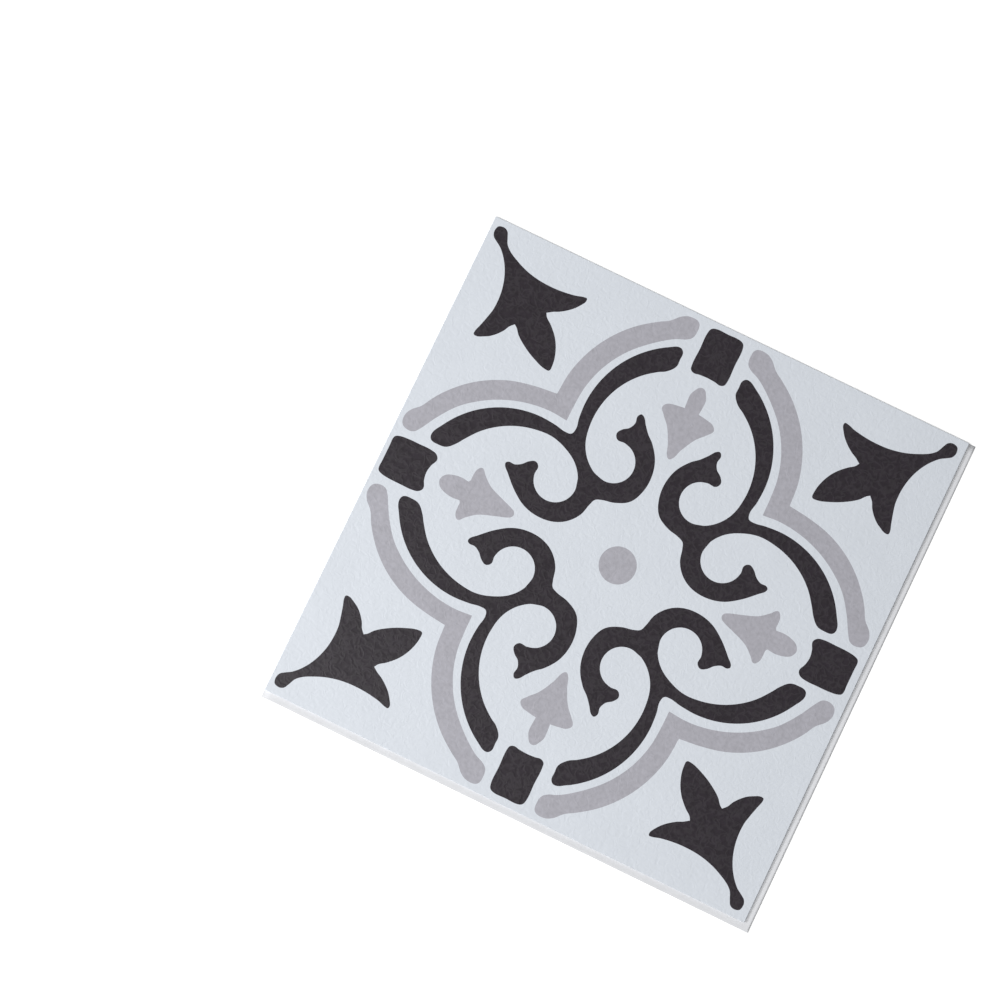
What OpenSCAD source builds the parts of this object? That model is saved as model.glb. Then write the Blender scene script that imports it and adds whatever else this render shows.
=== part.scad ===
// Square vinyl floor tile, lying on the release liner that covers its adhesive back.
// Origin: under the middle of the tile, on the liner's underside. +Z is up, through the printed face.

/* [Tile] */
// Side of the square tile, across its cut edges
tile_side = 305; // [150:1:620]
// Thickness of the finished sheet, from the adhesive back to the printed face
tile_thickness = 1.5; // [1:0.1:5]
// Radius of the four corners, seen from above
corner_radius = 0.6; // [0.2:0.1:10]
// Radius of the soft shoulder that the cutting die leaves round the printed face
shoulder_radius = 0.4; // [0.1:0.05:0.9]

/* [Release liner] */
// Thickness of the backing paper
liner_thickness = 0.15; // [0.1:0.01:0.5]
// Strip of paper that stands out past the right-hand edge, to peel by
peel_margin_right = 4.4; // [0.1:0.1:20]
// Strip of paper that stands out past the lower edge, to peel by
peel_margin_lower = 4.4; // [0.1:0.1:20]
// Radius of the liner's four corners, seen from above
liner_corner_radius = 0.3; // [0.1:0.1:10]

/* [Hidden] */
$fn = 48;

half_side = tile_side / 2;
liner_width = tile_side + peel_margin_right;
liner_length = tile_side + peel_margin_lower;

// A rectangle from the origin to size, with round corners.
module rounded_plan(size, radius) {
    translate([radius, 0]) square([size[0] - 2 * radius, size[1]]);
    translate([0, radius]) square([size[0], size[1] - 2 * radius]);
    for (x = [radius, size[0] - radius])
        for (y = [radius, size[1] - radius])
            translate([x, y]) circle(r = radius);
}

// Section across the sheet: square below, where the die leaves it, with a soft shoulder on each side above.
module sheet_section(width, thickness, shoulder) {
    translate([-width / 2, 0]) square([width, thickness - shoulder]);
    translate([shoulder - width / 2, 0]) square([width - 2 * shoulder, thickness]);
    for (side = [-1, 1])
        translate([side * (width / 2 - shoulder), thickness - shoulder]) circle(r = shoulder);
}

// The section drawn out along Y, centred on the origin.
module drawn_section(width, length, thickness, shoulder) {
    translate([0, length / 2, 0])
        rotate([90, 0, 0])
            linear_extrude(height = length)
                sheet_section(width, thickness, shoulder);
}

// One laminated sheet. Two crossed sections give all four edges their shoulder, mitred at the corners.
module vinyl_tile() {
    color("#d9dde4")
        translate([0, 0, liner_thickness])
            intersection() {
                drawn_section(tile_side, tile_side, tile_thickness, shoulder_radius);
                rotate([0, 0, 90])
                    drawn_section(tile_side, tile_side, tile_thickness, shoulder_radius);
                translate([-half_side, -half_side, 0])
                    linear_extrude(height = tile_thickness)
                        rounded_plan([tile_side, tile_side], corner_radius);
            }
}

// Backing paper: flush with the tile's left and upper edges, proud of the other two.
module release_liner() {
    color("#f2f3f5")
        translate([-half_side, -half_side - peel_margin_lower, 0])
            linear_extrude(height = liner_thickness)
                rounded_plan([liner_width, liner_length], liner_corner_radius);
}

vinyl_tile();
release_liner();
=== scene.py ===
# %% [markdown]
# # A printed vinyl floor tile on its release liner
# The object is one square sheet of soft vinyl, 305 mm a side, and the thin paper liner that
# covers its adhesive back. A traditional ornament of scrolls and petals is printed on the face.
# This lesson first settles the sizes, the place of the eye and the light. Then it goes as such a
# tile is made: the inks and the paper, then the print, the sheet and the liner.
#
# ## The frame
# The solid model of the tile is already there, in metres, with its origin under the middle of
# the tile. The sides, levels and margins of the sheets are read from its two pieces, so that the
# looks can't drift from them. The radii of the edges and the places in the print are written here.

# %% Load the frame and read its sizes
import math

import bmesh
import bpy
from mathutils import Matrix, Vector


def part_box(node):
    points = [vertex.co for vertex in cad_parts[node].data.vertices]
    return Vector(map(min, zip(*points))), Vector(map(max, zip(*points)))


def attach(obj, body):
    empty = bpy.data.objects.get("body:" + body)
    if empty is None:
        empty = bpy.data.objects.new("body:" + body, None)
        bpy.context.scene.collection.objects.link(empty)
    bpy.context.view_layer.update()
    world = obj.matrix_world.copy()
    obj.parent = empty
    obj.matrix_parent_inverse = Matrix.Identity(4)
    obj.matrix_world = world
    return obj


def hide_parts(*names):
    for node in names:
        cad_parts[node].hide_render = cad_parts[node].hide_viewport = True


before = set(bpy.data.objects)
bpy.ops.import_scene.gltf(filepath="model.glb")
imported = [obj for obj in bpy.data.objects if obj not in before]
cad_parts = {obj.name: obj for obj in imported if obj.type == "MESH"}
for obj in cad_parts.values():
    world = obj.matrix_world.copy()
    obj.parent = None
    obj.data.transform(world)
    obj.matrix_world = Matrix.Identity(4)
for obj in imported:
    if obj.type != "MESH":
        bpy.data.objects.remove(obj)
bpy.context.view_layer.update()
MM = 0.001
tile_low, tile_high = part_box("vinyl_tile")
liner_low, liner_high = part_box("release_liner")
tile_side = tile_high.x - tile_low.x
face_level = tile_high.z
liner_top = liner_high.z
print("tile side", round(tile_side / MM, 2), "mm, face at", round(face_level / MM, 2), "mm")

# %% [markdown]
# ## The eye
# The tile lies flat and is seen almost from straight above, less than three degrees off. It
# stands turned in the picture because the top of the picture points to a compass heading of
# its own on the floor. The eye is so near that the sides of the square run together a little,
# so its distance matters as much as its angle.

# %% Place the camera
LENS = 54.0
CAMERA_AT = Vector((-65.4, -33.1, 867.0)) * MM
CAMERA_AIM = Vector((-78.2, 4.4, 1.65)) * MM
PICTURE_TOP = math.radians(115.8)


def aim(thing, at, target, top):
    """Put a camera or lamp at a point, looking at a target, with the top of its view at a heading."""
    back = (at - target).normalized()
    heading = Vector((math.cos(top), math.sin(top), 0.0))
    right = heading.cross(back).normalized()
    up = back.cross(right)
    turn = Matrix((right, up, back)).transposed()
    thing.matrix_world = Matrix.Translation(at) @ turn.to_4x4()


eye = bpy.data.objects.new("eye", bpy.data.cameras.new("eye"))
eye.data.lens = LENS
eye.data.sensor_width = 36.0
eye.data.clip_end = 20.0
bpy.context.collection.objects.link(eye)
aim(eye, CAMERA_AT, CAMERA_AIM, PICTURE_TOP)
bpy.context.scene.camera = eye
print("camera is", round((CAMERA_AT - CAMERA_AIM).length, 3), "m from the face")

# %% [markdown]
# ## The light
# Two softboxes share the work. The low one stands on the left, so that the far edges of the tile
# throw a narrow shadow on the liner and the relief of the face catches a little of it. The high
# one hangs on the left too, a little lower in the picture. Of all the face, its lower left comes
# nearest to mirroring that lamp to the eye, so the dark ink has a soft sheen there, which fades
# towards the upper right. The pale surroundings give the rest. The three shares add up to a level
# at which a colour renders about as it is written.

# %% Set the lamps
# Each lamp: share of the light, side in metres, heading and height in degrees, distance in metres.
LAMPS = {
    "low softbox": (0.36, 0.84, 202, 38, 3.0),
    "high softbox": (0.39, 0.8, 226.8, 61.3, 2.28),
}
ROOM_SHARE = 0.24

for name, (share, size, heading, height, distance) in LAMPS.items():
    heading, height = math.radians(heading), math.radians(height)
    lamp = bpy.data.objects.new(name, bpy.data.lights.new(name, "AREA"))
    lamp.data.shape = "SQUARE"
    lamp.data.size = size
    lamp.data.energy = share * math.pi ** 2 * distance ** 2 / math.sin(height)
    bpy.context.collection.objects.link(lamp)
    sideways = Vector((math.cos(heading), math.sin(heading), 0)) * math.cos(height)
    lamp_at = (sideways + Vector((0, 0, math.sin(height)))) * distance
    aim(lamp, lamp_at, Vector((0, 0, 0)), heading)
    print(name, "of", round(lamp.data.energy, 1), "W,", round(lamp_at.z, 2), "m up")

scene = bpy.context.scene
scene.view_settings.view_transform = "Standard"


# %% [markdown]
# The backdrop is plain white. The picture and the reflections see it at full white, while
# the light that it sheds on the tile stays at the level chosen above. Light Path tells the two
# apart. The floor is a real white surface that keeps the shadow of the tile. It glows more and
# more with its distance from the tile, so that it runs into the backdrop without a horizon.
# The liner sinks into it by a hair, because two surfaces in one plane flicker.

# %% Make the surroundings and the floor white
def seen_directly(nodes, links):
    """A value of 1 for rays from the camera and for reflections, and 0 for the light itself."""
    path = nodes.new("ShaderNodeLightPath")
    shine = nodes.new("ShaderNodeMath")
    shine.operation = "MAXIMUM"
    links.new(path.outputs["Is Camera Ray"], shine.inputs[0])
    links.new(path.outputs["Is Glossy Ray"], shine.inputs[1])
    both = nodes.new("ShaderNodeMath")
    both.operation = "MAXIMUM"
    links.new(shine.outputs[0], both.inputs[0])
    links.new(path.outputs["Is Transmission Ray"], both.inputs[1])
    return both.outputs[0]


room = bpy.data.worlds.new("pale room")
scene.world = room
room.use_nodes = True
room_nodes, room_links = room.node_tree.nodes, room.node_tree.links
room_nodes.clear()
room_light = room_nodes.new("ShaderNodeBackground")
room_light.inputs["Strength"].default_value = ROOM_SHARE
room_white = room_nodes.new("ShaderNodeBackground")
room_white.inputs["Color"].default_value = (1, 1, 1, 1)
room_white.inputs["Strength"].default_value = 1.0
room_light.inputs["Color"].default_value = (1, 1, 1, 1)
room_mix = room_nodes.new("ShaderNodeMixShader")
room_out = room_nodes.new("ShaderNodeOutputWorld")
room_links.new(seen_directly(room_nodes, room_links), room_mix.inputs[0])
room_links.new(room_light.outputs[0], room_mix.inputs[1])
room_links.new(room_white.outputs[0], room_mix.inputs[2])
room_links.new(room_mix.outputs[0], room_out.inputs["Surface"])

white_floor = bpy.data.materials.new("white floor")
white_floor.use_nodes = True
floor_nodes, floor_links = white_floor.node_tree.nodes, white_floor.node_tree.links
floor_nodes.clear()
floor_coat = floor_nodes.new("ShaderNodeBsdfDiffuse")
floor_coat.inputs["Color"].default_value = (0.82, 0.82, 0.82, 1)
floor_glow = floor_nodes.new("ShaderNodeEmission")
floor_place = floor_nodes.new("ShaderNodeTexCoord")
floor_away = floor_nodes.new("ShaderNodeVectorMath")
floor_away.operation = "LENGTH"
floor_fade = floor_nodes.new("ShaderNodeMapRange")
# The glow rises between half a metre and one and a half metres from the middle.
floor_fade.inputs["From Min"].default_value = 0.5
floor_fade.inputs["From Max"].default_value = 1.5
floor_fade.inputs["To Min"].default_value = 0.36
floor_fade.inputs["To Max"].default_value = 1.1
floor_dark = floor_nodes.new("ShaderNodeEmission")
floor_dark.inputs["Strength"].default_value = 0.0
floor_mix = floor_nodes.new("ShaderNodeMixShader")
floor_add = floor_nodes.new("ShaderNodeAddShader")
floor_out = floor_nodes.new("ShaderNodeOutputMaterial")
floor_links.new(floor_place.outputs["Object"], floor_away.inputs[0])
floor_links.new(floor_away.outputs["Value"], floor_fade.inputs["Value"])
floor_links.new(floor_fade.outputs[0], floor_glow.inputs["Strength"])
floor_links.new(seen_directly(floor_nodes, floor_links), floor_mix.inputs[0])
floor_links.new(floor_dark.outputs[0], floor_mix.inputs[1])
floor_links.new(floor_glow.outputs[0], floor_mix.inputs[2])
floor_links.new(floor_coat.outputs[0], floor_add.inputs[0])
floor_links.new(floor_mix.outputs[0], floor_add.inputs[1])
floor_links.new(floor_add.outputs[0], floor_out.inputs["Surface"])

FLOOR_LEVEL = 0.02 * MM
FLOOR_REACH = 4.0
floor_mesh = bpy.data.meshes.new("floor")
floor_signs = ((-1, -1), (1, -1), (1, 1), (-1, 1))
floor_corners = [(x * FLOOR_REACH, y * FLOOR_REACH, FLOOR_LEVEL) for x, y in floor_signs]
floor_mesh.from_pydata(floor_corners, [], [(0, 1, 2, 3)])
floor_mesh.materials.append(white_floor)
floor = bpy.data.objects.new("floor", floor_mesh)
bpy.context.collection.objects.link(floor)
print("floor is", 2 * FLOOR_REACH, "m square, backdrop white")


# %% [markdown]
# ## Shared effects
# The face of such a tile is embossed by a steel roller with fine short wrinkles, a bit like
# orange peel. The same relief runs through all the colours, because it is pressed in after
# printing. It is a node group, so that each ink takes it with its own depth. It reads the
# piece's own coordinates and stays put when the eye moves.

# %% Make the embossed relief
def new_group(name, inputs, outputs):
    """An empty shader node group with named values in and out."""
    group = bpy.data.node_groups.new(name, "ShaderNodeTree")
    for label, kind, value in inputs:
        socket = group.interface.new_socket(label, in_out="INPUT", socket_type=kind)
        if value is not None:
            socket.default_value = value
    for label in outputs:
        group.interface.new_socket(label, in_out="OUTPUT", socket_type="NodeSocketFloat")
    start = group.nodes.new("NodeGroupInput")
    end = group.nodes.new("NodeGroupOutput")
    return group, start, end


emboss, start, end = new_group(
    "embossed wrinkles",
    [("Place", "NodeSocketVector", None), ("Wrinkle size", "NodeSocketFloat", 0.004)],
    ["Height", "Crests"],
)
per_metre = emboss.nodes.new("ShaderNodeMath")
per_metre.operation = "DIVIDE"
per_metre.inputs[0].default_value = 1.0
wander = emboss.nodes.new("ShaderNodeTexNoise")
wander.inputs["Detail"].default_value = 1.0
wander.inputs["Roughness"].default_value = 0.55
wander.inputs["Distortion"].default_value = 0.6
fold = emboss.nodes.new("ShaderNodeMath")
fold.operation = "SUBTRACT"
fold.inputs[1].default_value = 0.5
ridge = emboss.nodes.new("ShaderNodeMath")
ridge.operation = "ABSOLUTE"
height = emboss.nodes.new("ShaderNodeMapRange")
height.inputs["From Min"].default_value = 0.0
height.inputs["From Max"].default_value = 0.22
height.inputs["To Min"].default_value = 1.0
height.inputs["To Max"].default_value = 0.0
crest = emboss.nodes.new("ShaderNodeMapRange")
crest.interpolation_type = "SMOOTHSTEP"
crest.inputs["From Min"].default_value = 0.45
crest.inputs["From Max"].default_value = 1.0
emboss.links.new(start.outputs["Wrinkle size"], per_metre.inputs[1])
emboss.links.new(start.outputs["Place"], wander.inputs["Vector"])
emboss.links.new(per_metre.outputs[0], wander.inputs["Scale"])
emboss.links.new(wander.outputs[0], fold.inputs[0])
emboss.links.new(fold.outputs[0], ridge.inputs[0])
emboss.links.new(ridge.outputs[0], height.inputs["Value"])
emboss.links.new(height.outputs[0], end.inputs["Height"])
emboss.links.new(height.outputs[0], crest.inputs["Value"])
emboss.links.new(crest.outputs[0], end.inputs["Crests"])
print("group", emboss.name, "has", len(emboss.nodes), "nodes")

# %% [markdown]
# Printed ink is never quite even: rollers leave soft patches of more and less ink, and paper
# has its fibres. One group makes both kinds of unevenness, as a mask from 0 to 1, from a broad
# cloud and a fine grain. Each material sets the two sizes for itself.

# %% Make the uneven tone
tone, start, end = new_group(
    "uneven tone",
    [
        ("Place", "NodeSocketVector", None),
        ("Patch size", "NodeSocketFloat", 0.02),
        ("Grain size", "NodeSocketFloat", 0.001),
        ("Grain share", "NodeSocketFloat", 0.5),
    ],
    ["Mask"],
)
layers = []
for label, detail in (("Patch size", 2.0), ("Grain size", 1.0)):
    inverse = tone.nodes.new("ShaderNodeMath")
    inverse.operation = "DIVIDE"
    inverse.inputs[0].default_value = 1.0
    cloud = tone.nodes.new("ShaderNodeTexNoise")
    cloud.inputs["Detail"].default_value = detail
    tone.links.new(start.outputs[label], inverse.inputs[1])
    tone.links.new(inverse.outputs[0], cloud.inputs["Scale"])
    tone.links.new(start.outputs["Place"], cloud.inputs["Vector"])
    spread = tone.nodes.new("ShaderNodeMapRange")
    spread.inputs["From Min"].default_value = 0.3
    spread.inputs["From Max"].default_value = 0.7
    tone.links.new(cloud.outputs[0], spread.inputs["Value"])
    layers.append(spread.outputs[0])
blend = tone.nodes.new("ShaderNodeMix")
tone.links.new(start.outputs["Grain share"], blend.inputs["Factor"])
tone.links.new(layers[0], blend.inputs["A"])
tone.links.new(layers[1], blend.inputs["B"])
tone.links.new(blend.outputs["Result"], end.inputs["Mask"])
print("group", tone.name, "has", len(tone.nodes), "nodes")


# %% [markdown]
# ## The inks, the cut edge and the paper
# The face has three colours: a pale blue-grey ground, charcoal and a mid grey. All three lie
# under the same matt film, so they share its gloss and its relief and differ in their colour
# and in how even they are. A function makes such a finish from two close tones of one colour.
# On the charcoal and the grey it also lightens the crests of the relief a little, a painted
# highlight that stands in for the glint of the lamps on them.

# %% Mix a finish from two tones
# The pale tone that the crests of the relief are lightened towards: a painted highlight in place of the
# lamps' glint.
GLINT_PAINT_TONE = (236, 232, 236)


def from_screen(red, green, blue):
    """A colour as it reads on a screen, 0 to 255, turned into the linear values of a shader."""
    out = []
    for part in (red, green, blue):
        c = part / 255
        out.append(c / 12.92 if c <= 0.04045 else ((c + 0.055) / 1.055) ** 2.4)
    return (*out, 1.0)


def finish_of(name, deep, light, patch, grain, grain_share, roughness, specular, wrinkle, depth, glint):
    """A matt finish between two tones, with relief; glint is how strongly a painted highlight lightens
    its crests.
    """
    material = bpy.data.materials.new(name)
    material.use_nodes = True
    nodes, links = material.node_tree.nodes, material.node_tree.links
    shader = nodes["Principled BSDF"]
    shader.inputs["Roughness"].default_value = roughness
    shader.inputs["Specular IOR Level"].default_value = specular
    place = nodes.new("ShaderNodeTexCoord")
    uneven = nodes.new("ShaderNodeGroup")
    uneven.node_tree = tone
    uneven.inputs["Patch size"].default_value = patch
    uneven.inputs["Grain size"].default_value = grain
    uneven.inputs["Grain share"].default_value = grain_share
    links.new(place.outputs["Object"], uneven.inputs["Place"])
    relief = nodes.new("ShaderNodeGroup")
    relief.node_tree = emboss
    relief.inputs["Wrinkle size"].default_value = wrinkle
    links.new(place.outputs["Object"], relief.inputs["Place"])
    colour = nodes.new("ShaderNodeMix")
    colour.data_type = "RGBA"
    colour.inputs[6].default_value = from_screen(*deep)
    colour.inputs[7].default_value = from_screen(*light)
    links.new(uneven.outputs["Mask"], colour.inputs[0])
    # Painted highlight: the crests are mixed towards the pale glint tone by the glint share, in place of
    # the lamps' glint on them.
    lift = nodes.new("ShaderNodeMath")
    lift.operation = "MULTIPLY"
    lift.inputs[1].default_value = glint
    links.new(relief.outputs["Crests"], lift.inputs[0])
    painted_glint = nodes.new("ShaderNodeMix")
    painted_glint.data_type = "RGBA"
    painted_glint.inputs[7].default_value = from_screen(*GLINT_PAINT_TONE)
    links.new(lift.outputs[0], painted_glint.inputs[0])
    links.new(colour.outputs[2], painted_glint.inputs[6])
    links.new(painted_glint.outputs[2], shader.inputs["Base Color"])
    bump = nodes.new("ShaderNodeBump")
    bump.inputs["Distance"].default_value = depth
    links.new(relief.outputs["Height"], bump.inputs["Height"])
    links.new(bump.outputs[0], shader.inputs["Normal"])
    return material


# %% Mix the five finishes of the tile and its liner
EMBOSS = 4.0 * MM
EMBOSS_DEPTH = 0.07 * MM
ground_print = finish_of(
    "pale ground print", deep=(212, 217, 224), light=(217, 222, 229),
    patch=30 * MM, grain=2.2 * MM, grain_share=0.5, roughness=0.5, specular=0.25,
    wrinkle=EMBOSS, depth=EMBOSS_DEPTH, glint=0.0,
)
charcoal_print = finish_of(
    "charcoal print", deep=(19, 12, 19), light=(33, 26, 34),
    patch=12 * MM, grain=2.4 * MM, grain_share=0.75, roughness=0.43, specular=0.25,
    wrinkle=EMBOSS, depth=EMBOSS_DEPTH, glint=0.014,
)
grey_print = finish_of(
    "grey print", deep=(163, 162, 169), light=(175, 174, 182),
    patch=12 * MM, grain=2.2 * MM, grain_share=0.7, roughness=0.5, specular=0.25,
    wrinkle=EMBOSS, depth=EMBOSS_DEPTH, glint=0.02,
)
cut_vinyl = finish_of(
    "cut vinyl edge", deep=(206, 209, 214), light=(222, 224, 228),
    patch=3 * MM, grain=0.4 * MM, grain_share=0.5, roughness=0.6, specular=0.3,
    wrinkle=0.5 * MM, depth=0.01 * MM, glint=0.0,
)
liner_paper = finish_of(
    "liner paper", deep=(217, 218, 221), light=(226, 227, 230),
    patch=9 * MM, grain=0.8 * MM, grain_share=0.4, roughness=0.55, specular=0.3,
    wrinkle=0.9 * MM, depth=0.01 * MM, glint=0.0,
)
print("finishes:", ", ".join(m.name for m in bpy.data.materials if m is not white_floor))


# %% [markdown]
# ## The ornament
# The print is a traditional one, as on old encaustic tiles. All of it is mirrored in two lines
# through its middle, an upright one and a level one. It looks drawn by hand: the side of a motif
# that faces the upright axis is close to the side that faces the level axis, but not its exact
# twin. Each side is a list of knots, in millimetres from the middle, with arcs for its round
# stretches. Most of them were not set by eye. Other programs measured the edge of the ink in a
# photograph of the tile, and fitted circles to it, and their numbers were typed in here. A level
# side is written folded over onto the upright one, without the two end knots that they share, so
# that the two are easy to compare. A 1 after a knot makes it a sharp corner.

# %% Draw the sides of each motif
def arc(centre, radius, start, end, knots):
    """Knots spaced evenly along a round stretch, between two angles in degrees."""
    out = []
    for i in range(knots):
        a = math.radians(start + (end - start) * i / (knots - 1))
        out.append((centre[0] + radius * math.cos(a), centre[1] + radius * math.sin(a)))
    return out


SCROLL_UPRIGHT = [
    (28, 28), (24.5, 29.7), (17, 31.5), (9.2, 36), (5.3, 43.7),
    (4.2, 53.5), (6.5, 63.5), (12.3, 72), (16.5, 75.7), (20.1, 79.9), (23.3, 84),
    (25.2, 84.6), (26.7, 82.5), (26.2, 78.5), (27.9, 74.6), (31.5, 71.7), (33.3, 68.3),
    (31.4, 65.3), *arc((27.8, 52.8), 12.5, 96, 295, 8), (35.8, 42.5), (42.5, 48), (47.1, 55.6),
    *arc((0.8, 70.2), 48.6, -5, 57, 6), (22.9, 113.6), (18.9, 118.7), (18.8, 123),
    (19.1, 127.8), (21.4, 129.6), *arc((-2.6, 75.3), 59.9, 59, -8, 7), (55.6, 60.4), (56.8, 56.8),
]
SCROLL_LEVEL = [
    (24.5, 29.5), (17, 31.6), (10.2, 36.9), (6.2, 44),
    (5, 53.5), (7.1, 63.2), (12.6, 71.9), (20.1, 79.9), (23.8, 83.4),
    (25.2, 83.5), (26.3, 82.2), (26.4, 78.5), (28.4, 74.9), (31.6, 71.8), (33.2, 68.3),
    (31.2, 65.7), *arc((28.2, 53.3), 12.6, 98, 294, 8), (35.8, 42.6), (42.5, 47.9), (47.2, 55.5),
    *arc((0.3, 68.5), 50.1, -3, 58, 6), (22.9, 113.6), (18.2, 118.4), (17.4, 123),
    (18.3, 128.2), (21.4, 129.3), *arc((0.9, 76), 57.1, 61, -9, 7), (56.2, 60.4),
]
GREY_BAND_UPRIGHT = [
    (62.7, 62.7, 1), *arc((-2.6, 73.6), 65.1, 0, 47, 6), (30.1, 130.9), (25.7, 133.6), (20.6, 135.8),
    (17.9, 138.2), (17, 142), (18.2, 147.7), (24, 148.8), (28.6, 146.9), (34, 141.6),
    *arc((0.2, 75.2), 74.2, 58, 10, 6), (74.4, 74.4, 1),
]
GREY_BAND_LEVEL = [
    *arc((-8, 72.2), 71.5, 1, 45, 6), (30.6, 131.5), (25.9, 134.1), (21.3, 136.8),
    (18.6, 139), (17.7, 142.4), (19.3, 146.8), (24, 148.2), (28.4, 146.7), (33.9, 141.6),
    (40.3, 138), *arc((4, 78.9), 69.3, 52, 8, 5),
]
CORNER_PETALS_UPRIGHT = [
    (84.2, 84.2), *arc((114.1, 85.1), 30.4, 176, 129, 4), (98.9, 111.8), (100.2, 113.9, 1),
    (97, 116.1), (93.5, 117.9), (87.3, 122.8), (84.2, 126.7), (82.4, 130.2), (82.8, 131.8),
    (84.4, 131.8), (89.8, 130.3), (103, 128.8), (116, 129.8), (127.8, 133.6), (137.3, 139.5),
    *arc((144.4, 143.8), 4.5, 168, 70, 4), (147.3, 147.3),
]
CORNER_PETALS_LEVEL = [
    *arc((136.3, 74.5), 53.8, 167, 140, 4), (98.6, 112.1), (99.8, 113.8, 1),
    (97.1, 116.2), (93.6, 118), (87.8, 123.2), (85.6, 126.8), (83.9, 130.8), (84.3, 132.7),
    (86, 132.9), (90.2, 131.7), (96.5, 130), (103, 128.7), (116, 129.5), (127.7, 133.8), (136.3, 140.5),
    *arc((144.2, 142.8), 5.4, 158, 73, 4),
]
UPRIGHT_PETALS = [
    (0, 68.3), (1.6, 69.4), (4.3, 76.2), (9.4, 85.5), (14, 90.6), (16.4, 94.3), (14.5, 97.1),
    (9.5, 98.5), (4.5, 99.2, 1), (4.8, 103), (4.8, 108.1), (3.4, 111.3), (1.9, 113.5), (0, 114.2),
]
LEVEL_PETALS = [
    (0, 66.4), (1.8, 67.2), (2.8, 68.8), (5.3, 75.8), (9.2, 85.6), (13.6, 91), (16.6, 94.4),
    (14.4, 96.7), (9.3, 97.4), (7.3, 97.4), (6, 98.2, 1), (6.4, 103), (5.5, 108.3), (3.9, 111.6),
    (1.8, 113.2), (0, 113.7),
]
UPRIGHT_BLOCK = [
    (0, 120.4), (5, 120.1), (8.5, 119.6), (10.7, 120.8), (11.3, 123), (11.2, 134),
    (11.1, 145), (10.2, 147.3), (8.3, 148.4), (0, 148.6),
]
LEVEL_BLOCK = [
    (0, 122.2), (4.5, 121.5), (9.3, 119.8), (11.8, 121.5), (12.8, 125), (12.9, 133),
    (12.8, 140), (12.1, 145.3), (11.1, 147.4), (9.8, 148.1), (5, 148.1), (0, 148.1),
]
DOT_RADIUS = 11.0
print("knots of the scroll:", len(SCROLL_UPRIGHT), "and", len(SCROLL_LEVEL))


# %% [markdown]
# A motif on a diagonal is closed by folding its level side out over the diagonal, and one on an
# axis by mirroring its single side in that axis. A smooth knot needs a tangent, which points
# along the sum of the two unit steps that meet there. Handles of about a third of the step keep
# an arc within a few hundredths of a millimetre.

# %% Close the motifs as smooth curves
PULL = 0.34
STEPS_BETWEEN_KNOTS = 8


def folded_out(upright, level):
    """All the knots of a diagonal motif."""
    return upright + [(k[1], k[0], *k[2:]) for k in reversed(level)]


def mirrored(side):
    """All the knots of a motif that stands on the upright axis."""
    return side + [(-k[0], k[1], *k[2:]) for k in reversed(side[1:-1])]


def motif(name, knots):
    """A closed curve through the knots."""
    points = [Vector((k[0], k[1], 0)) * MM for k in knots]
    curve = bpy.data.curves.new(name, "CURVE")
    curve.dimensions = "3D"
    spline = curve.splines.new("BEZIER")
    spline.use_cyclic_u = True
    spline.resolution_u = STEPS_BETWEEN_KNOTS
    spline.bezier_points.add(len(points) - 1)
    for i, knot in enumerate(spline.bezier_points):
        before, here, after = points[i - 1], points[i], points[(i + 1) % len(points)]
        way_in, way_out = here - before, after - here
        tangent = (way_in.normalized() + way_out.normalized()).normalized()
        sharp = len(knots[i]) > 2
        knot.co = here
        knot.handle_left_type = "FREE"
        knot.handle_right_type = "FREE"
        knot.handle_left = here - (way_in if sharp else tangent * way_in.length) * PULL
        knot.handle_right = here + (way_out if sharp else tangent * way_out.length) * PULL
    drawn = bpy.data.objects.new(name, curve)
    bpy.context.collection.objects.link(drawn)
    return drawn


scroll = motif("scroll", folded_out(SCROLL_UPRIGHT, SCROLL_LEVEL))
grey_band = motif("grey band", folded_out(GREY_BAND_UPRIGHT, GREY_BAND_LEVEL))
corner_petals = motif("corner petals", folded_out(CORNER_PETALS_UPRIGHT, CORNER_PETALS_LEVEL))
upright_petals = motif("upright petals", mirrored(UPRIGHT_PETALS))
level_petals = motif("level petals", mirrored(LEVEL_PETALS))
upright_block = motif("upright block", mirrored(UPRIGHT_BLOCK))
level_block = motif("level block", mirrored(LEVEL_BLOCK))
dot = motif("dot", arc((0, 0), DOT_RADIUS, 0, 330, 12))
outlines = [scroll, grey_band, corner_petals, upright_petals, level_petals]
outlines += [upright_block, level_block, dot]
print("outlines:", ", ".join(o.name for o in outlines))


# %% [markdown]
# ## The printed face
# A node tree does what the printing rollers do: it repeats each motif round the middle, and
# fills the shapes, each with its own ink. The ground is the tile's outline with all the shapes
# as holes, so the inks meet edge to edge on one flat face, and none lies on another.
#
# The first group repeats one outline by half turns. A diagonal motif comes with its mirror
# image, which makes four of it.

# %% Repeat a motif round the middle
def link(tree, source, target):
    """Join two sockets of a node tree."""
    tree.links.new(source, target)


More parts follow.
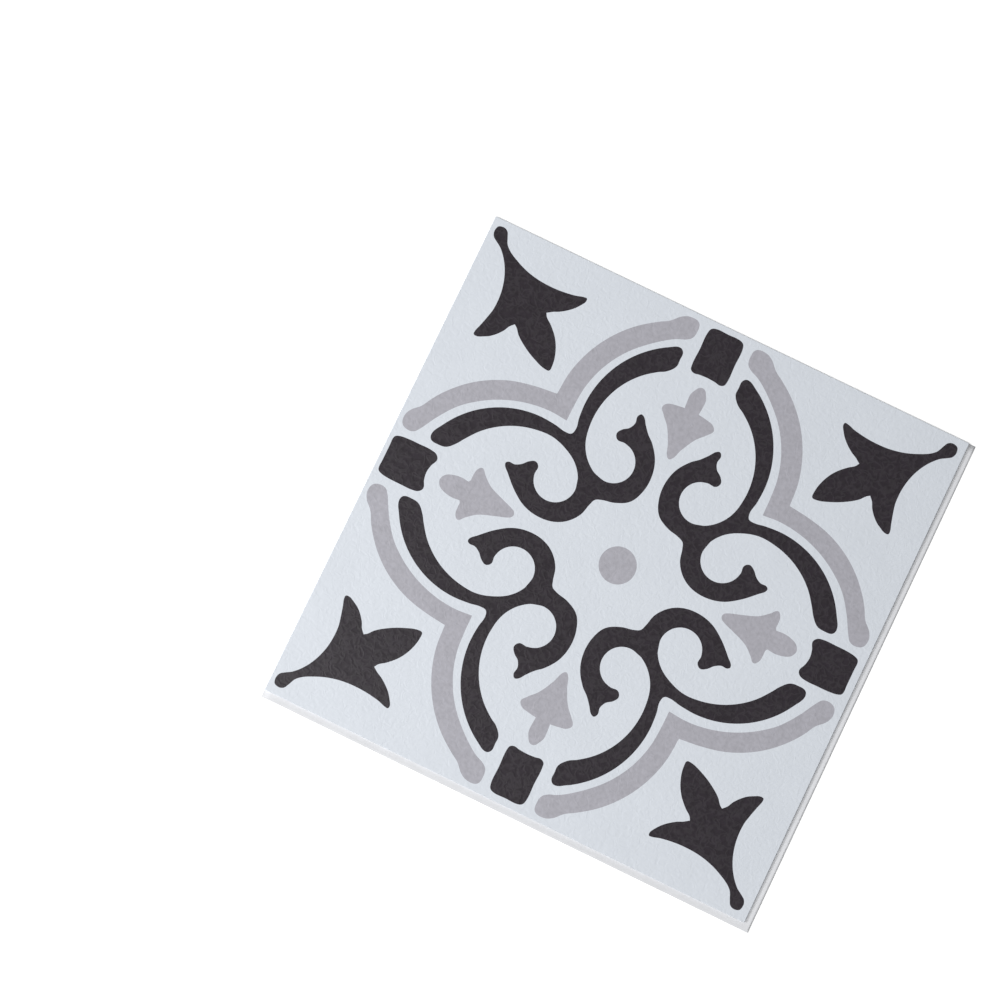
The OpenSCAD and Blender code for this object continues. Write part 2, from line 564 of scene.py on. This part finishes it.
def ring_of_motifs():
    """A node group: an outline, with its mirror image if wanted, turned evenly round the middle."""
    tree = bpy.data.node_groups.new("ring of motifs", "GeometryNodeTree")
    face = tree.interface
    face.new_socket("Outline", in_out="INPUT", socket_type="NodeSocketGeometry")
    face.new_socket("With mirror image", in_out="INPUT", socket_type="NodeSocketBool")
    face.new_socket("Copies", in_out="INPUT", socket_type="NodeSocketInt")
    face.new_socket("First turn", in_out="INPUT", socket_type="NodeSocketFloat")
    face.new_socket("Ring", in_out="OUTPUT", socket_type="NodeSocketGeometry")
    start = tree.nodes.new("NodeGroupInput")
    end = tree.nodes.new("NodeGroupOutput")
    image = tree.nodes.new("GeometryNodeTransform")
    image.inputs["Scale"].default_value = (-1, 1, 1)
    pair = tree.nodes.new("GeometryNodeJoinGeometry")
    wanted = tree.nodes.new("GeometryNodeSwitch")
    wanted.input_type = "GEOMETRY"
    seats = tree.nodes.new("GeometryNodePoints")
    number = tree.nodes.new("GeometryNodeInputIndex")
    step = tree.nodes.new("ShaderNodeMath")
    step.operation = "DIVIDE"
    step.inputs[0].default_value = math.tau
    turn = tree.nodes.new("ShaderNodeMath")
    turn.operation = "MULTIPLY_ADD"
    upright = tree.nodes.new("ShaderNodeCombineXYZ")
    rotation = tree.nodes.new("FunctionNodeEulerToRotation")
    place = tree.nodes.new("GeometryNodeInstanceOnPoints")
    real = tree.nodes.new("GeometryNodeRealizeInstances")
    link(tree, start.outputs["Outline"], image.inputs["Geometry"])
    link(tree, start.outputs["Outline"], pair.inputs[0])
    link(tree, image.outputs[0], pair.inputs[0])
    link(tree, start.outputs["With mirror image"], wanted.inputs["Switch"])
    link(tree, start.outputs["Outline"], wanted.inputs["False"])
    link(tree, pair.outputs[0], wanted.inputs["True"])
    link(tree, start.outputs["Copies"], seats.inputs["Count"])
    link(tree, start.outputs["Copies"], step.inputs[1])
    link(tree, number.outputs[0], turn.inputs[0])
    link(tree, step.outputs[0], turn.inputs[1])
    link(tree, start.outputs["First turn"], turn.inputs[2])
    link(tree, turn.outputs[0], upright.inputs["Z"])
    link(tree, upright.outputs[0], rotation.inputs[0])
    link(tree, seats.outputs[0], place.inputs["Points"])
    link(tree, wanted.outputs[0], place.inputs["Instance"])
    link(tree, rotation.outputs[0], place.inputs["Rotation"])
    link(tree, place.outputs[0], real.inputs[0])
    link(tree, real.outputs[0], end.inputs["Ring"])
    return tree


ring = ring_of_motifs()
print("group", ring.name, "has", len(ring.nodes), "nodes")

# %% [markdown]
# The second tree is the face itself. Each ink layer is a list of rings: an outline, whether it
# comes with its mirror image, how many copies, and the turn of the first. The level petals and
# blocks are drawn on the upright axis like the others, so theirs starts with a quarter turn.
# The grey ink lies a third of a millimetre off the charcoal one, as happens where each ink has a
# roller of its own.

# %% Build the tree of the printed face
QUARTER = math.pi / 2
CHARCOAL_LAYER = [
    (scroll, True, 2, 0.0), (corner_petals, True, 2, 0.0),
    (upright_block, False, 2, 0.0), (level_block, False, 2, QUARTER),
]
GREY_LAYER = [
    (grey_band, True, 2, 0.0), (upright_petals, False, 2, 0.0),
    (level_petals, False, 2, QUARTER), (dot, False, 1, 0.0),
]
GREY_SLIP = (0.15 * MM, -0.3 * MM, 0.0)
WELD = 0.002 * MM


def ink_loops(tree, layer, start, slip=(0.0, 0.0, 0.0)):
    """All the outlines of one ink, repeated round the middle and set where the print lies."""
    gathered = tree.nodes.new("GeometryNodeJoinGeometry")
    for outline, with_image, copies, first_turn in layer:
        source = tree.nodes.new("GeometryNodeObjectInfo")
        source.inputs["Object"].default_value = outline
        copier = tree.nodes.new("GeometryNodeGroup")
        copier.node_tree = ring
        copier.inputs["With mirror image"].default_value = with_image
        copier.inputs["Copies"].default_value = copies
        copier.inputs["First turn"].default_value = first_turn
        link(tree, source.outputs["Geometry"], copier.inputs["Outline"])
        link(tree, copier.outputs["Ring"], gathered.inputs[0])
    slipped = tree.nodes.new("GeometryNodeTransform")
    slipped.inputs["Translation"].default_value = slip
    link(tree, gathered.outputs[0], slipped.inputs["Geometry"])
    moved = tree.nodes.new("GeometryNodeTransform")
    link(tree, slipped.outputs[0], moved.inputs["Geometry"])
    link(tree, start.outputs["Print shift"], moved.inputs["Translation"])
    link(tree, start.outputs["Print turn"], moved.inputs["Rotation"])
    link(tree, start.outputs["Print stretch"], moved.inputs["Scale"])
    return moved.outputs[0]


def inked(tree, loops, ink):
    """The area inside the loops as flat faces of one ink."""
    filled = tree.nodes.new("GeometryNodeFillCurve")
    real = tree.nodes.new("GeometryNodeRealizeInstances")
    inker = tree.nodes.new("GeometryNodeSetMaterial")
    link(tree, loops, filled.inputs[0])
    link(tree, filled.outputs[0], real.inputs[0])
    link(tree, real.outputs[0], inker.inputs["Geometry"])
    link(tree, ink, inker.inputs["Material"])
    return inker.outputs[0]


def printed_face_tree():
    """The whole printed face, as flat faces that share their edges."""
    tree = bpy.data.node_groups.new("printed face", "GeometryNodeTree")
    face = tree.interface
    face.new_socket("Geometry", in_out="INPUT", socket_type="NodeSocketGeometry")
    face.new_socket("Side", in_out="INPUT", socket_type="NodeSocketFloat")
    face.new_socket("Corner radius", in_out="INPUT", socket_type="NodeSocketFloat")
    face.new_socket("Corner steps", in_out="INPUT", socket_type="NodeSocketInt")
    for label in ("Print shift", "Print turn", "Print stretch"):
        face.new_socket(label, in_out="INPUT", socket_type="NodeSocketVector")
    face.new_socket("Face level", in_out="INPUT", socket_type="NodeSocketFloat")
    for label in ("Ground", "Charcoal", "Grey"):
        face.new_socket(label, in_out="INPUT", socket_type="NodeSocketMaterial")
    face.new_socket("Geometry", in_out="OUTPUT", socket_type="NodeSocketGeometry")
    start = tree.nodes.new("NodeGroupInput")
    end = tree.nodes.new("NodeGroupOutput")
    square = tree.nodes.new("GeometryNodeCurvePrimitiveQuadrilateral")
    corners = tree.nodes.new("GeometryNodeFilletCurve")
    corners.mode = "POLY"
    link(tree, start.outputs["Side"], square.inputs["Width"])
    link(tree, start.outputs["Side"], square.inputs["Height"])
    link(tree, square.outputs[0], corners.inputs["Curve"])
    link(tree, start.outputs["Corner radius"], corners.inputs["Radius"])
    link(tree, start.outputs["Corner steps"], corners.inputs["Count"])
    charcoal_loops = ink_loops(tree, CHARCOAL_LAYER, start)
    grey_loops = ink_loops(tree, GREY_LAYER, start, GREY_SLIP)
    ground_loops = tree.nodes.new("GeometryNodeJoinGeometry")
    for loops in (corners.outputs[0], charcoal_loops, grey_loops):
        link(tree, loops, ground_loops.inputs[0])
    whole = tree.nodes.new("GeometryNodeJoinGeometry")
    areas = [(ground_loops.outputs[0], "Ground"), (charcoal_loops, "Charcoal"), (grey_loops, "Grey")]
    for loops, ink in areas:
        link(tree, inked(tree, loops, start.outputs[ink]), whole.inputs[0])
    joined = tree.nodes.new("GeometryNodeMergeByDistance")
    joined.inputs["Distance"].default_value = WELD
    level = tree.nodes.new("ShaderNodeCombineXYZ")
    raised = tree.nodes.new("GeometryNodeTransform")
    link(tree, whole.outputs[0], joined.inputs["Geometry"])
    link(tree, start.outputs["Face level"], level.inputs["Z"])
    link(tree, joined.outputs[0], raised.inputs["Geometry"])
    link(tree, level.outputs[0], raised.inputs["Translation"])
    link(tree, raised.outputs[0], end.inputs["Geometry"])
    return tree


face_tree = printed_face_tree()
print("tree", face_tree.name, "has", len(face_tree.nodes), "nodes")

# %% [markdown]
# The print isn't dead centre on the sheet, as happens where tiles are stamped out of a wide web.
# It is a third of a percent wider than it is drawn and a tenth of a percent less high. The face
# stops where the rounded shoulder of the sheet starts, because a sheet that is cut from the face
# side has an edge that rolls over.

# %% Run the tree and keep its mesh
SHOULDER = 0.4 * MM
PLAN_RADIUS = 0.6 * MM
PRINT_SHIFT = (-0.83 * MM, 0.26 * MM, 0.0)
PRINT_TURN = (0.0, 0.0, math.radians(-0.06))
PRINT_STRETCH = (1.0035, 0.9988, 1.0)


def run_tree(name, tree, values):
    """A plain mesh from a node tree, with its named inputs set."""
    carrier = bpy.data.objects.new(name, bpy.data.meshes.new(name))
    bpy.context.collection.objects.link(carrier)
    modifier = carrier.modifiers.new(name, "NODES")
    modifier.node_group = tree
    for socket in tree.interface.items_tree:
        if socket.in_out == "INPUT" and socket.name in values:
            modifier[socket.identifier] = values[socket.name]
    evaluated = carrier.evaluated_get(bpy.context.evaluated_depsgraph_get())
    made = bpy.data.meshes.new_from_object(evaluated)
    bpy.data.objects.remove(carrier)
    return made


face_mesh = run_tree(
    "printed face",
    face_tree,
    {
        "Side": tile_side - 2 * SHOULDER,
        "Corner radius": PLAN_RADIUS - SHOULDER,
        "Corner steps": 4,
        "Print shift": PRINT_SHIFT,
        "Print turn": PRINT_TURN,
        "Print stretch": PRINT_STRETCH,
        "Face level": face_level,
        "Ground": ground_print,
        "Charcoal": charcoal_print,
        "Grey": grey_print,
    },
)
for outline in outlines:
    bpy.data.objects.remove(outline)
print("printed face:", len(face_mesh.polygons), "faces,", [m.name for m in face_mesh.materials])


# %% [markdown]
# ## The vinyl sheet
# The face is the top of a solid sheet 1.5 mm thick. Its rim is swept round the edge of the
# face: a quarter round for the shoulder, then the straight cut down to the liner. Each rim
# point has a corner centre of its own, and the direction from that centre is the way out.

# %% Sweep the shoulder and the cut edge round the face
SHOULDER_STEPS = 6


def sheet_under(mesh, low, cut_finish):
    """Give a flat face the rounded shoulder, the cut side and the underside of a sheet."""
    shape = bmesh.new()
    shape.from_mesh(mesh)
    ground = [m.name for m in mesh.materials].index("pale ground print")
    mesh.materials.append(cut_finish)
    cut = len(mesh.materials) - 1
    edge_points = {v for e in shape.edges if e.is_boundary for v in e.verts}
    rim = sorted(edge_points, key=lambda v: math.atan2(v.co.y, v.co.x))
    inner = tile_side / 2 - PLAN_RADIUS
    starts, ways = [], []
    for v in rim:
        centre = Vector((max(-inner, min(inner, v.co.x)), max(-inner, min(inner, v.co.y)), 0))
        starts.append(centre)
        ways.append((Vector((v.co.x, v.co.y, 0)) - centre).normalized())
    levels = []
    for i in range(1, SHOULDER_STEPS + 1):
        a = QUARTER * i / SHOULDER_STEPS
        reach = PLAN_RADIUS - SHOULDER + SHOULDER * math.sin(a)
        levels.append((reach, face_level - SHOULDER + SHOULDER * math.cos(a), ground, True))
    levels.append((PLAN_RADIUS, low, cut, False))
    above = rim
    for reach, z, finish, smooth in levels:
        below = []
        for centre, way in zip(starts, ways):
            below.append(shape.verts.new((centre.x + way.x * reach, centre.y + way.y * reach, z)))
        for i in range(len(rim)):
            j = (i + 1) % len(rim)
            side = shape.faces.new((above[i], below[i], below[j], above[j]))
            side.material_index = finish
            side.smooth = smooth
        above = below
    underside = shape.faces.new(above)
    underside.material_index = cut
    bmesh.ops.recalc_face_normals(shape, faces=shape.faces)
    open_edges = sum(1 for e in shape.edges if not e.is_manifold)
    shape.to_mesh(mesh)
    shape.free()
    return open_edges


open_edges = sheet_under(face_mesh, tile_low.z, cut_vinyl)
tile = bpy.data.objects.new("printed_tile", face_mesh)
bpy.context.collection.objects.link(tile)
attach(tile, "root")
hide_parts("vinyl_tile")
print("tile:", len(face_mesh.polygons), "faces,", open_edges, "open edges")

# %% [markdown]
# ## The release liner
# The liner is one sheet of siliconised paper, cut a few millimetres larger than the tile on two
# sides. Held down by the tile it lies flat. Its right margin lifts a little more towards the
# lower corner, and its lower margin curls up in a soft wave, by half a millimetre at most. It is
# a grid whose rows crowd at the free margins, raised by a rule and given the paper's thickness.

# %% Lay the liner
LINER_STEPS = 60
MARGIN_STEPS = 4
LIFT_RIGHT = 0.22 * MM
LIFT_LOWER = 0.5 * MM
LINER_CORNER = 0.3 * MM
CURL = 1.6
RIGHT_FADE = 1.5
WAVE_MEAN = 0.6
WAVE_SWING = 0.4
SAME_PLACE = 1e-7
NEARLY_LEVEL = 0.7


def evenly(low, high, steps):
    """Places spaced evenly from one end to the other."""
    return [low + (high - low) * i / steps for i in range(steps + 1)]


def lift_at(x, y):
    """How far the paper rises off the floor at a point, which is nothing under the tile."""
    right = max(0.0, (x - tile_high.x) / (liner_high.x - tile_high.x))
    lower = max(0.0, (tile_low.y - y) / (tile_low.y - liner_low.y))
    right_wave = max(0.0, 0.5 - y / tile_side) ** RIGHT_FADE
    lower_wave = WAVE_MEAN + WAVE_SWING * math.cos(27 * x - 1.1) * math.sin(13 * x + 0.5)
    return LIFT_RIGHT * right ** CURL * right_wave + LIFT_LOWER * lower ** CURL * lower_wave


def liner_mesh():
    """The liner as a closed thin sheet."""
    columns = evenly(liner_low.x, tile_high.x, LINER_STEPS)
    columns += evenly(tile_high.x, liner_high.x, MARGIN_STEPS)[1:]
    rows = evenly(liner_low.y, tile_low.y, MARGIN_STEPS)
    rows += evenly(tile_low.y, liner_high.y, LINER_STEPS)[1:]
    shape = bmesh.new()
    sheets = []
    for z in (0.0, liner_top):
        sheets.append([[shape.verts.new((x, y, z + lift_at(x, y))) for x in columns] for y in rows])
    for under, sheet in enumerate(reversed(sheets)):
        for r in range(len(rows) - 1):
            for c in range(len(columns) - 1):
                quad = [sheet[r][c], sheet[r][c + 1], sheet[r + 1][c + 1], sheet[r + 1][c]]
                shape.faces.new(quad[::-1] if under else quad)
    bottom, top = sheets
    last_row, last_column = len(rows) - 1, len(columns) - 1
    loop = [(0, c) for c in range(last_column)] + [(r, last_column) for r in range(last_row)]
    loop += [(last_row, c) for c in range(last_column, 0, -1)] + [(r, 0) for r in range(last_row, 0, -1)]
    for i, (r, c) in enumerate(loop):
        s, d = loop[(i + 1) % len(loop)]
        shape.faces.new((bottom[r][c], bottom[s][d], top[s][d], top[r][c]))
    corners = []
    for e in shape.edges:
        a, b = e.verts
        upright = abs(a.co.x - b.co.x) + abs(a.co.y - b.co.y) < SAME_PLACE
        at_side = min(abs(a.co.x - liner_low.x), abs(a.co.x - liner_high.x)) < SAME_PLACE
        at_end = min(abs(a.co.y - liner_low.y), abs(a.co.y - liner_high.y)) < SAME_PLACE
        if upright and at_side and at_end:
            corners.append(e)
    bmesh.ops.bevel(shape, geom=corners, offset=LINER_CORNER, segments=3, affect="EDGES", profile=0.5)
    bmesh.ops.recalc_face_normals(shape, faces=shape.faces)
    for f in shape.faces:
        f.smooth = abs(f.normal.z) > NEARLY_LEVEL
    mesh = bpy.data.meshes.new("liner")
    shape.to_mesh(mesh)
    open_edges = sum(1 for e in shape.edges if not e.is_manifold)
    shape.free()
    print("liner:", len(mesh.polygons), "faces,", open_edges, "open edges,", len(corners), "corners")
    return mesh


paper = bpy.data.objects.new("liner_sheet", liner_mesh())
paper.data.materials.append(liner_paper)
bpy.context.collection.objects.link(paper)
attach(paper, "root")
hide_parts("release_liner")
